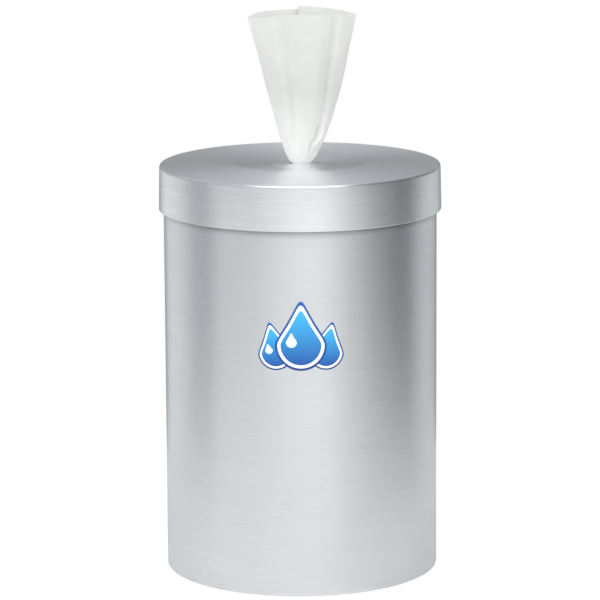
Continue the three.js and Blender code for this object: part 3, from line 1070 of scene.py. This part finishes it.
@dataclass
class Drape:
    """How the wipe hangs together: a cone above the throat and a strand below it. Millimetres.

    Places round the section are turns from 0 to 1, which start and end at the back. A valley
    is given by its place and the widths of its two flanks. A pleat is at most deepest times
    the half depth, and slot is how far round its cloth goes where plain cloth goes 1. Pleats
    are alike from even_below under the throat, and at the back once change_over above that.
    """

    neck: float = 6.85
    cone_height: float = 109.5
    edge_rise: float = 3.0
    edge_tilt: float = 0.8
    corner_rise: float = 2.4
    corner_flick: float = 1.7
    half_width: float = 39.3
    half_depth: float = 19.0
    flare: float = 0.68
    aside: float = 0.95
    lean: float = 2.6
    strand_radius: float = 7.2
    strand_length: float = 186.0
    strand_twist: float = 0.012
    core_radius: float = 25.0
    sheet_width: float = 203.2
    sheet_length: float = 152.4
    pleats: int = 14
    pleat_shift: float = 0.22
    pleat_phase: float = 5.1
    even_below: float = 18.0
    change_over: float = 14.0
    deepest: float = 0.84
    slot: float = 0.09
    lap: float = 1.04
    lap_gap: float = 1.8
    lap_turn: float = 0.035
    valley_depth: float = 6.9
    valley_easing: float = 0.45
    left_valley: tuple[float, float, float] = (0.425, 0.016, 0.05)
    left_weight: float = 1.25
    right_valley: tuple[float, float, float] = (0.606, 0.028, 0.015)
    ripple_depth: float = 0.5
    crumple: Crumple = Crumple()

    def middle(self, height: np.ndarray) -> tuple[np.ndarray, np.ndarray]:
        """The middle of the section: it leans right as the cone opens, and swings aside in the core.

        Args:
            height: heights above the throat.

        Returns:
            The x and y of the middle.
        """
        rise = np.clip(height / (self.cone_height / 2), 0, 1)
        drop = np.clip(-height / self.strand_length, 0, 1)
        centred = self.aside * np.clip(-height / 10, 0, 1)
        swing = (self.core_radius - self.strand_radius - 0.9) * drop**3
        x = self.aside + self.lean * np.sin(rise * np.pi / 2) + swing * np.cos(2 * drop) - centred
        return x, swing * np.sin(2 * drop)

    def surface(self, height: np.ndarray, columns: int) -> np.ndarray:
        """The cloth at rows of constant height.

        Round the axis the section is an ellipse of semi-axes a and b, which open as
        height ** flare. The cloth is as wide as the flat sheet all the way down, so what the
        ellipse doesn't need is taken in by pleats, as pleated says. The front adds its own
        valleys and ripples, as front says. Each point is drawn in towards the middle of its
        section by the sum of both, and the upper edge is raised by edge_rise, edge_tilt and
        corner_rise. Below the throat the section turns by strand_twist for each millimetre.

        Args:
            height: array of (rows,), heights above the throat, falling.
            columns: number of points across the sheet.

        Returns:
            Points of (rows, columns, 3), without the throat's own height.
        """
        h = height[:, None]
        opened = np.clip(h / self.cone_height, 0, None) ** self.flare
        gathered = self.neck + (self.strand_radius - self.neck) * np.clip(-h / 20, 0, 1)
        a = gathered + (self.half_width - self.neck) * opened
        b = gathered + (self.half_depth - self.neck) * opened
        depth, turn = self.pleated(h, a, b, columns)
        turn = 0.5 + (turn - 0.5) * (1 + self.lap_turn * opened)
        angle = 2 * np.pi * turn + np.pi / 2 + np.minimum(h, 0) * self.strand_twist
        spoke = np.hypot(a * np.cos(angle), b * np.sin(angle))
        shrink = 1 - (depth + self.front(turn, h, opened)) / spoke
        x0, y0 = self.middle(h)
        x = x0 + a * np.cos(angle) * shrink
        y = y0 + b * np.sin(angle) * shrink
        x = x - self.corner_flick * np.clip(-np.cos(angle), 0, 1) ** 2 * opened**6
        corner = np.clip((turn - 0.75) / 0.25, 0, None) ** 2
        rise = np.where(turn < 0.25, 1 - np.cos(angle) ** 6, np.sin(angle) ** 2)
        edge = self.edge_rise * rise + self.edge_tilt * np.cos(angle) + self.corner_rise * corner
        return np.stack([x, y, h + edge * opened**2], axis=-1)

    def pleated(
        self, height: np.ndarray, a: np.ndarray, b: np.ndarray, columns: int
    ) -> tuple[np.ndarray, np.ndarray]:
        """How deep in a pleat each point lies, and how far round the section it has come.

        In a pleat the cloth runs straight in towards the middle and out again, so its turn
        grows only by slot for each step. The spare cloth is the sheet's width less the girth,
        2 pi sqrt((a^2 + b^2) / 2), times lap.

        Args:
            height: array of (rows, 1), heights above the throat.
            a: half widths of the section, (rows, 1).
            b: half depths of the section, (rows, 1).
            columns: number of points across the sheet.

        Returns:
            The depth, and the turn from 0 to 1, both of (rows, columns).
        """
        u = np.linspace(0.0, 1.0, columns)[None, :]
        girth = 2 * np.pi * np.sqrt((a**2 + b**2) / 2)
        spare = np.clip(self.sheet_width - girth * self.lap, 0, None)
        depth, step = np.zeros(height.shape) + 0 * u, np.ones(height.shape) + 0 * u
        shares = self.pleat_shares(height)
        for index, share in enumerate(shares):
            shift = self.pleat_shift * math.sin(self.pleat_phase * index)
            centre = (index + 0.5 + shift) / self.pleats
            reach = np.minimum(spare * share / 2, self.deepest * b)
            inside = np.clip(reach - np.abs(u - centre) * self.sheet_width, 0, None)
            depth = np.maximum(depth, inside)
            step = np.where(inside > 0, self.slot, step)
        depth, step = self.soften(depth), self.soften(step)
        turn = np.cumsum(step, axis=1) - step / 2
        return depth, turn / turn[:, -1:]

    def pleat_shares(self, height: np.ndarray) -> list[np.ndarray]:
        """Each pleat's share of the spare cloth: alike in the strand, moved to the back in the throat.

        Args:
            height: heights above the throat.

        Returns:
            For each pleat an array like height. They add up to 1.
        """
        turns = (np.arange(self.pleats) + 0.5) / self.pleats
        back = (0.5 + 0.5 * np.cos(2 * np.pi * turns)) ** 2
        back = back / back.sum()
        even = 1.0 / self.pleats
        move = np.clip((height + self.even_below) / self.change_over, 0, 1)
        return [even + (share - even) * move for share in back]

    def front(self, turn: np.ndarray, height: np.ndarray, opened: np.ndarray) -> np.ndarray:
        """How far the open cloth is drawn in by two valleys, slow ripples, a crumple and the lap.

        The valleys grow as opened * (1 - valley_easing * opened). The lap sets the two edges
        apart at the back by lap_gap in all: one lies outside the ellipse and the other inside.

        Args:
            turn: how far round each point is, from 0 to 1. The front is at 0.5.
            height: heights above the throat.
            opened: how far the cone is open at each height, from 0 to 1.

        Returns:
            An array like turn.
        """
        left = self.left_weight * self.valley(turn, *self.left_valley)
        right = self.valley(turn, *self.right_valley)
        valleys = self.valley_depth * opened * (1 - self.valley_easing * opened) * (left + right)
        waves = np.sin(2 * np.pi * (3 * turn + height / 90)) * np.sin(height / 17 + 4 * turn)
        lapped = self.lap_gap * opened * (0.5 - turn)
        ripples = self.ripple_depth * opened * waves
        return valleys + ripples + self.crumple.depth(turn, height) - lapped

    @staticmethod
    def soften(rows: np.ndarray) -> np.ndarray:
        """Each row averaged over seven neighbours with a bell weight, its ends held.

        Args:
            rows: array of (rows, columns).

        Returns:
            An array like rows.
        """
        weights = np.array([1.0, 4.0, 9.0, 12.0, 9.0, 4.0, 1.0])
        padded = np.pad(rows, ((0, 0), (3, 3)), mode="edge")
        total = sum(w * padded[:, i : i + rows.shape[1]] for i, w in enumerate(weights))
        return total / weights.sum()

    @staticmethod
    def valley(turn: np.ndarray, centre: float, before: float, after: float) -> np.ndarray:
        """A valley with two flanks: exp(-((turn - centre) / width)^2), each flank with its own width."""
        width = np.where(turn < centre, before, after)
        return np.exp(-(((turn - centre) / width) ** 2))


@dataclass
class Wipes:
    """The wipe that stands up out of the lid, and the next one joined to it below. Millimetres."""

    drape: Drape
    columns: int = 560
    cone_rows: int = 96
    cone_crowding: float = 1.25
    neck_rows: int = 34
    strand_rows: int = 70
    teeth: int = 124
    tooth: float = 0.7

    def __post_init__(self) -> None:
        """Reads the height of the collar's throat from the frame."""
        self.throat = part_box("nozzle_collar")[1].z / MM

    def build(self, finishes: Finishes) -> None:
        """Args:
            finishes: the finishes.
        """
        joint = -self.joint_depth()
        cone = self.drape.cone_height * np.linspace(1.0, 0.0, self.cone_rows) ** self.cone_crowding
        neck = np.linspace(0.0, joint, self.neck_rows)[1:]
        self.sheet("top_wipe", np.concatenate([cone, neck]), 0.0, finishes, ("wipe",))
        strand = np.linspace(joint, -self.drape.strand_length, self.strand_rows)
        self.sheet("next_wipe", strand, self.drape.sheet_length, finishes, ())

    def joint_depth(self) -> float:
        """How far below the throat the first wipe ends: its length less the cone's slant height."""
        slant = math.hypot(self.drape.cone_height, self.drape.half_width - self.drape.neck)
        return self.drape.sheet_length - slant

    def sheet(
        self, name: str, heights: np.ndarray, start: float, finishes: Finishes, stands_for: tuple[str, ...]
    ) -> None:
        """One wipe: the drape's surface between two heights, with a toothed torn edge at each end.

        Args:
            name: the piece's name.
            heights: heights of its rows above the throat.
            start: length of cloth above this wipe, for the embossing.
            finishes: the finishes.
            stands_for: names of the frame's nodes that it is shown for.
        """
        points = self.drape.surface(heights, self.columns)
        teeth = self.tooth * np.abs(((np.linspace(0, self.teeth, self.columns) + 0.5) % 1) * 2 - 1)
        points[0, :, 2] -= teeth
        points[-1, :, 2] += teeth * 0.5
        points[..., 2] += self.throat
        steps = np.linalg.norm(np.diff(points, axis=0), axis=-1).mean(axis=1)
        run = start + np.concatenate([[0.0], np.cumsum(steps)])
        across = np.linspace(0.0, self.drape.sheet_width, self.columns)
        uv = np.stack([across + 0 * run[:, None], 0 * across - run[:, None]], axis=-1) * MM
        mesh = sheet_mesh(name, points * MM, uv)
        mesh.flip_normals()
        piece = place(name, mesh, finishes.cloth, Body.LID, Slot.CLOTH, stands_for)


@dataclass
class Roll:
    """The roll of wipes, with its turns wound side by side. Millimetres."""

    core: float = 25.0
    edge: float = 2.0
    turns: int = 62
    relief: float = 0.55
    uneven: float = 0.35
    core_rise: float = 6.0
    side_wave: float = 0.25
    around: int = 240

    def __post_init__(self) -> None:
        """Reads the roll's radius, floor and top from the frame."""
        low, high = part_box("wipe_roll")
        self.radius = high.x / MM
        self.floor = low.z / MM
        self.top = high.z / MM - self.core_rise

    def build(self, finishes: Finishes) -> None:
        """Makes the roll and dresses it.

        Args:
            finishes: the finishes.
        """
        mesh = sheet_mesh("roll_turns", self.surface() * MM, self.uv(), wrap=True)
        weld(mesh)
        place("roll_turns", mesh, finishes.cloth, Body.CANISTER, Slot.CLOTH, ("wipe_roll",))

    def outline(self) -> tuple[np.ndarray, np.ndarray]:
        """Radius and height of the roll's skin: up the core, out over the top, down and in below.

        Returns:
            Points of (n, 2), and the share of relief that each takes.
        """
        rim = self.radius - self.edge
        across = np.linspace(self.core, rim, self.turns * 4)
        inward = (rim - across) / (rim - self.core)
        end = np.stack([across, self.top + self.core_rise * inward**4], axis=1)
        side = arc((rim, self.top - self.edge), self.edge, 90, 0, 6)
        foot = arc((rim, self.floor + self.edge), self.edge, 0, -90, 6)
        wall = np.linspace(self.top + self.core_rise - 1, self.floor, 40)[::-1]
        core = np.stack([self.core + 0 * wall, wall], axis=1)
        flank = np.linspace(self.top - self.edge - 4, self.floor + self.edge + 4, 24)
        flank = np.stack([self.radius + 0 * flank, flank], axis=1)
        points = np.vstack([core, end, side, flank, foot, core[:1]])
        share = np.zeros(len(points))
        share[len(core) : len(core) + len(end)] = 1.0
        return points, share

    def surface(self) -> np.ndarray:
        """The skin turned about the axis. On the end, height falls between the turns.

        The drop is relief * (0.5 - 0.5 cos(2 pi (turn number + angle / 2 pi))), so that the
        ridges run as one spiral, and a slow wave makes some turns stand higher.

        Returns:
            Points of (profile points, angles, 3), in millimetres.
        """
        points, share = self.outline()
        angle = np.linspace(0, 2 * np.pi, self.around, endpoint=False)[None, :]
        radius, height = points[:, :1], points[:, 1:]
        number = (radius - self.core) / (self.radius - self.edge - self.core) * self.turns
        spiral = 0.5 - 0.5 * np.cos(2 * np.pi * number + angle)
        wave = np.sin(number * 0.9 + np.sin(2 * angle)) * np.sin(3 * angle + number * 0.37)
        drop = share[:, None] * (self.relief * spiral + self.uneven * (1 + wave))
        on_side = (share[:, None] == 0) * (radius > self.radius - 1)
        sides = self.side_wave * np.sin(5 * angle + height / 21) * on_side
        grown = radius - np.abs(sides)
        points = [grown * np.cos(angle), grown * np.sin(angle), height - drop]
        return np.stack(points, axis=-1)[:, ::-1]

    def uv(self) -> np.ndarray:
        """Place on the skin in metres: round the axis, and along the outline.

        Returns:
            An array of (profile points, angles + 1, 2).
        """
        points, _ = self.outline()
        run = run_along(points)
        turn = np.linspace(0.0, 2 * np.pi * self.radius, self.around + 1)
        return np.stack([turn + 0 * run[:, None], 0 * turn + run[:, None]], axis=-1) * MM


@dataclass
class Bag:
    """The film bag round the roll, its mouth tucked in over the top in pleats. Millimetres."""

    flap: float = 19.0
    ruffle: float = 2.6
    sway: float = 1.2
    draw: float = 0.12
    pleats: int = 15
    film: float = 0.3
    around: int = 300
    floor_rows: int = 12
    wall_rows: int = 60
    flap_rows: int = 26

    def __post_init__(self) -> None:
        """Reads the bag's radius, floor and top from the frame."""
        low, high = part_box("refill_bag")
        self.radius = high.x / MM - self.film
        self.floor = low.z / MM
        self.top = high.z / MM - self.ruffle

    def build(self, finishes: Finishes) -> None:
        """Makes the bag as one surface with a thin wall, and dresses it.

        Args:
            finishes: the finishes.
        """
        mesh = sheet_mesh("bag_film", self.surface() * MM, wrap=True)
        weld(mesh)
        piece = place("bag_film", mesh, finishes.film, Body.CANISTER, Slot.FILM, ("refill_bag",))
        wall = piece.modifiers.new("film", "SOLIDIFY")
        wall.thickness = self.film * MM
        wall.offset = -1.0

    def surface(self) -> np.ndarray:
        """Floor, wall and flap as one sheet turned about the axis.

        The flap rises by ruffle * share * (0.5 + 0.5 cos(pleats * angle)), where share grows
        from the wall to its free edge. The wall is drawn in a little by slow upright creases.

        Returns:
            Points of (rows, angles, 3), in millimetres.
        """
        angle = np.linspace(0, 2 * np.pi, self.around, endpoint=False)[None, :]
        floor = np.linspace(0.5, self.radius - 1, self.floor_rows)
        floor = np.stack([floor, np.full(self.floor_rows, self.floor)], axis=1)
        wall = np.linspace(self.floor + 1, self.top - 1, self.wall_rows)
        wall = np.stack([np.full(self.wall_rows, self.radius), wall], axis=1)
        flap = np.linspace(self.radius - 1, self.radius - self.flap, self.flap_rows)
        flap = np.stack([flap, np.full(self.flap_rows, self.top)], axis=1)
        points = np.vstack([floor, wall, flap])
        radius, height = points[:, :1], points[:, 1:]
        share = np.zeros((len(points), 1))
        share[-self.flap_rows :, 0] = np.linspace(0, 1, self.flap_rows)
        middle = np.sin(np.pi * np.clip((height - self.floor) / (self.top - self.floor), 0, 1))
        drawn = self.draw * middle * (1 + np.sin(9 * angle + 2 * np.sin(height / 40)))
        frill = 0.5 + 0.5 * np.cos(self.pleats * angle + 0.6 * np.sin(2 * angle))
        radius = radius - drawn - self.sway * share * np.sin(self.pleats * angle * 2)
        z = height + self.ruffle * share * frill
        return np.stack([radius * np.cos(angle), radius * np.sin(angle), z + 0 * angle], axis=-1)


@dataclass
class DropPrint:
    """Three plain water drops in blue, printed on the front. Millimetres."""

    centre_height: float = 189.0
    wall_radius: float = 101.6
    ink: float = 0.06
    around: int = 96
    rings: int = 12

    def build(self) -> None:
        """Prints the three drops, the middle one over the others."""
        self.drop("left_drop", (-18.5, -5.5), 11.5, 12.0, 0)
        self.drop("right_drop", (18.5, -5.5), 11.5, -12.0, 0)
        self.drop("middle_drop", (0.0, 0.0), 16.5, 0.0, 4)

    def drop(self, name: str, middle: Spot, size: float, lean: float, under: int) -> None:
        """One drop, printed in four layers: a dark rim, a white line, a blue field and a glint.

        Args:
            name: start of the layers' names.
            middle: place of the drop's middle, to the right of the front and above the print's middle.
            size: radius of the drop's round part.
            lean: how far it leans, in degrees.
            under: number of ink layers under it.
        """
        low = (self.centre_height + middle[1] - size) * MM
        high = (self.centre_height + middle[1] + 1.7 * size) * MM
        layers = (
            ("rim", size * 1.14, rgb(16, 58, 132), rgb(24, 88, 170), 0.0),
            ("line", size * 1.04, rgb(244, 247, 250), rgb(250, 252, 253), 0.0),
            ("field", size * 0.9, rgb(14, 66, 150), rgb(58, 176, 232), 0.0),
            ("glint", size * 0.24, rgb(206, 234, 248), rgb(240, 250, 254), 0.42),
        )
        for number, (label, radius, bottom, top, aside) in enumerate(layers, under):
            place_at = (middle[0] - aside * size, middle[1] + aside * size * 0.3)
            points = self.field(place_at, radius, lean, number)
            mesh = sheet_mesh(f"{name}_{label}", points * MM, wrap=True)
            weld(mesh)
            ink = Ink(f"{name} {label}", bottom, top, low, high).material()
            place(f"{name}_{label}", mesh, ink, Body.CANISTER, Slot.METAL)

    def field(self, middle: Spot, size: float, lean: float, layer: int) -> np.ndarray:
        """A drop's outline filled from its middle and wrapped round the wall.

        The outline is size * (cos a, sin a) with its upper part drawn up into a tip:
        height is stretched by 0.7 * max(0, sin a)^3 and width narrowed by 0.55 * max(0, sin a)^1.5.

        Args:
            middle: place of the drop's middle, across and up from the print's middle.
            size: radius of the round part.
            lean: turn in degrees.
            layer: number of ink layers under this one.

        Returns:
            Points of (rings, angles, 3), in millimetres.
        """
        angle = np.linspace(0, 2 * np.pi, self.around, endpoint=False)[None, :]
        ring = np.linspace(0.0, 1.0, self.rings)[:, None]
        rise = np.clip(np.sin(angle), 0, 1)
        x = size * ring * np.cos(angle) * (1 - 0.55 * rise**1.5)
        y = size * ring * (np.sin(angle) + 0.7 * rise**3)
        turn = math.radians(lean)
        across = middle[0] + x * math.cos(turn) - y * math.sin(turn)
        up = middle[1] + x * math.sin(turn) + y * math.cos(turn)
        radius = self.wall_radius + self.ink * (1 + 0.5 * layer)
        bearing = across / self.wall_radius
        points = [radius * np.sin(bearing), -radius * np.cos(bearing), self.centre_height + up]
        return np.stack(points, axis=-1)


# Studio


@dataclass(frozen=True)
class Lamp:
    """A rectangular softbox that faces the dispenser. Only a glossy one is mirrored by metal."""

    name: str
    spot: tuple[float, float, float]
    wide: float
    tall: float
    watts: float
    glossy: bool = False
    aim: tuple[float, float, float] = (0.0, 0.0, 0.2)

    def build(self) -> None:
        """Hangs the lamp."""
        data = bpy.data.lights.new(self.name, "AREA")
        data.shape = "RECTANGLE"
        data.size, data.size_y = self.wide, self.tall
        data.energy = self.watts
        lamp = bpy.data.objects.new(self.name, data)
        lamp.visible_glossy = self.glossy
        bpy.context.scene.collection.objects.link(lamp)
        towards = Vector(self.aim) - Vector(self.spot)
        turned = towards.to_track_quat("-Z", "Y").to_matrix().to_4x4()
        lamp.matrix_world = Matrix.Translation(self.spot) @ turned


LAMPS = (
    Lamp("top softbox", (0.03, -1.0, 2.0), 2.1, 1.0, 15.5, glossy=True),
    Lamp("top fill", (-0.05, -0.8, 2.1), 2.2, 1.0, 4.0),
    Lamp("front fill", (0.0, -2.3, 0.35), 1.1, 0.9, 4.0),
    Lamp("left fill", (-1.8, -0.9, 0.9), 1.0, 1.0, 33.0),
    Lamp("right fill", (1.8, -0.9, 0.9), 1.0, 1.0, 32.0),
    Lamp("back fill", (0.0, 1.9, 1.2), 1.6, 1.0, 4.0),
)


@dataclass
class Studio:
    """Camera, lights, floor and surroundings."""

    aside: float = -0.0005
    distance: float = 2.6747
    height: float = 0.7342
    pitch: float = 11.252
    roll: float = -0.333
    focal_share: float = 3643.83 / 600.0
    sensor: float = 36.0
    near: float = 0.1
    far: float = 60.0
    floor_radius: float = 0.455
    floor_corners: int = 96
    floor_colour: Colour = (0.74, 0.74, 0.73, 1)
    floor_glow: float = 1.08
    glow_share: float = 0.84
    room_strength: float = 1.235
    overhead: Colour = (0.975, 1.0, 1.03, 1)

    def build(self) -> None:
        """Sets the stage."""
        bpy.context.scene.view_settings.view_transform = "Standard"
        self.camera()
        self.floor()
        self.surroundings()
        for lamp in LAMPS:
            lamp.build()

    def camera(self) -> None:
        """The camera in front, looking down a little."""
        data = bpy.data.cameras.new("camera")
        data.sensor_width = self.sensor
        data.lens = self.sensor * self.focal_share
        data.clip_start, data.clip_end = self.near, self.far
        camera = bpy.data.objects.new("camera", data)
        bpy.context.scene.collection.objects.link(camera)
        stand = Matrix.Translation((self.aside, -self.distance, self.height))
        look = Matrix.Rotation(math.radians(90 - self.pitch), 4, "X")
        camera.matrix_world = stand @ look @ Matrix.Rotation(math.radians(self.roll), 4, "Z")
        bpy.context.scene.camera = camera

    def floor(self) -> None:
        """A plain pale floor. To the camera it mostly glows white, and it keeps a soft shadow."""
        mesh = bpy.data.meshes.new("floor")
        angle = np.linspace(0, 2 * np.pi, self.floor_corners, endpoint=False)
        rim = np.stack([np.cos(angle), np.sin(angle), 0 * angle], axis=1) * self.floor_radius
        mesh.from_pydata(rim, [], [tuple(range(self.floor_corners))])
        made, bench, shader = new_material("pale floor")
        shader.inputs["Base Color"].default_value = self.floor_colour
        shader.inputs["Roughness"].default_value = 0.9
        shader.inputs["Specular IOR Level"].default_value = 0.0
        glow = bench.add("ShaderNodeEmission", {"Color": WHITE, "Strength": self.floor_glow}).outputs[0]
        seen = bench.add("ShaderNodeLightPath").outputs["Is Camera Ray"]
        share = bench.math("MULTIPLY", seen, self.glow_share)
        mixed = bench.add("ShaderNodeMixShader", {0: share, 1: shader.outputs[0], 2: glow}).outputs[0]
        bench.feed(made.node_tree.nodes["Material Output"], {"Surface": mixed})
        mesh.materials.append(made)
        floor = bpy.data.objects.new("floor", mesh)
        bpy.context.scene.collection.objects.link(floor)

    def surroundings(self) -> None:
        """White to the camera. To everything else, a pale room with darker sides and a grey ceiling.

        Level with the dispenser and below, its tone is read from the bearing of each direction,
        atan2(x, -y), which is 0 towards the front: bright in front, darker on both sides, most
        on the right, lighter again behind them and dark straight behind. Above, it is a grey
        that grows paler overhead and is darker far on the right.
        """
        world = bpy.data.worlds.new("studio")
        bpy.context.scene.world = world
        world.use_nodes = True
        world.node_tree.nodes.clear()
        bench = NodeBench(world.node_tree)
        way = bench.coordinates("Generated")
        x, y, z = bench.add("ShaderNodeSeparateXYZ", {0: way}).outputs
        bearing = bench.math("ARCTAN2", x, bench.math("MULTIPLY", y, -1.0))
        around = self.room_tones(bench, bench.spread(bearing, -math.pi, math.pi, 0.0, 1.0))
        above = bench.spread(z, 0.15, 0.75, 0.25, 0.5)
        level = bench.math("MULTIPLY", above, bench.spread(x, 0.35, 0.65, 1.0, 0.35))
        up = bench.spread(z, -0.06, 0.1, 0.0, 1.0)
        tone = bench.blend(up, around, bench.blend(level, BLACK, self.overhead))
        seen = bench.add("ShaderNodeLightPath").outputs["Is Camera Ray"]
        room = bench.add("ShaderNodeBackground", {"Color": tone, "Strength": self.room_strength})
        white = bench.add("ShaderNodeBackground", {"Color": WHITE, "Strength": 1.0})
        mixed = bench.add("ShaderNodeMixShader", {0: seen, 1: room.outputs[0], 2: white.outputs[0]})
        bench.add("ShaderNodeOutputWorld", {"Surface": mixed.outputs[0]})

    @staticmethod
    def room_tones(bench: NodeBench, share: bpy.types.NodeSocket) -> bpy.types.NodeSocket:
        """The room's colour round about: each tone of ROOM_TONES, tinted between the two tints by itself.

        Args:
            bench: the world's bench.
            share: the bearing, from 0 to 1.

        Returns:
            The colour.
        """
        tones = bench.add("ShaderNodeValToRGB", {0: share})
        ramp = tones.color_ramp
        ramp.interpolation = "EASE"
        for number, (degrees, tone) in enumerate(ROOM_TONES):
            spot = degrees / 360 + 0.5
            stop = ramp.elements[number] if number < 2 else ramp.elements.new(spot)
            stop.position = spot
            tints = zip(DARK_TINT, LIGHT_TINT)
            red, green, blue = (tone * (dark + (light - dark) * tone) for dark, light in tints)
            stop.color = (red, green, blue, 1)
        return tones.outputs[0]


def main() -> None:
    """Builds the stage and the dispenser."""
    logging.basicConfig(level=logging.INFO, format="%(name)s: %(message)s")
    Studio().build()
    finishes = Finishes()
    Canister().build(finishes)
    DropPrint().build()
    Bag().build(finishes)
    Roll().build(finishes)
    Lid().build(finishes)
    Nozzle().build(finishes)
    Wipes(Drape()).build(finishes)


if __name__ == "__main__":
    main()
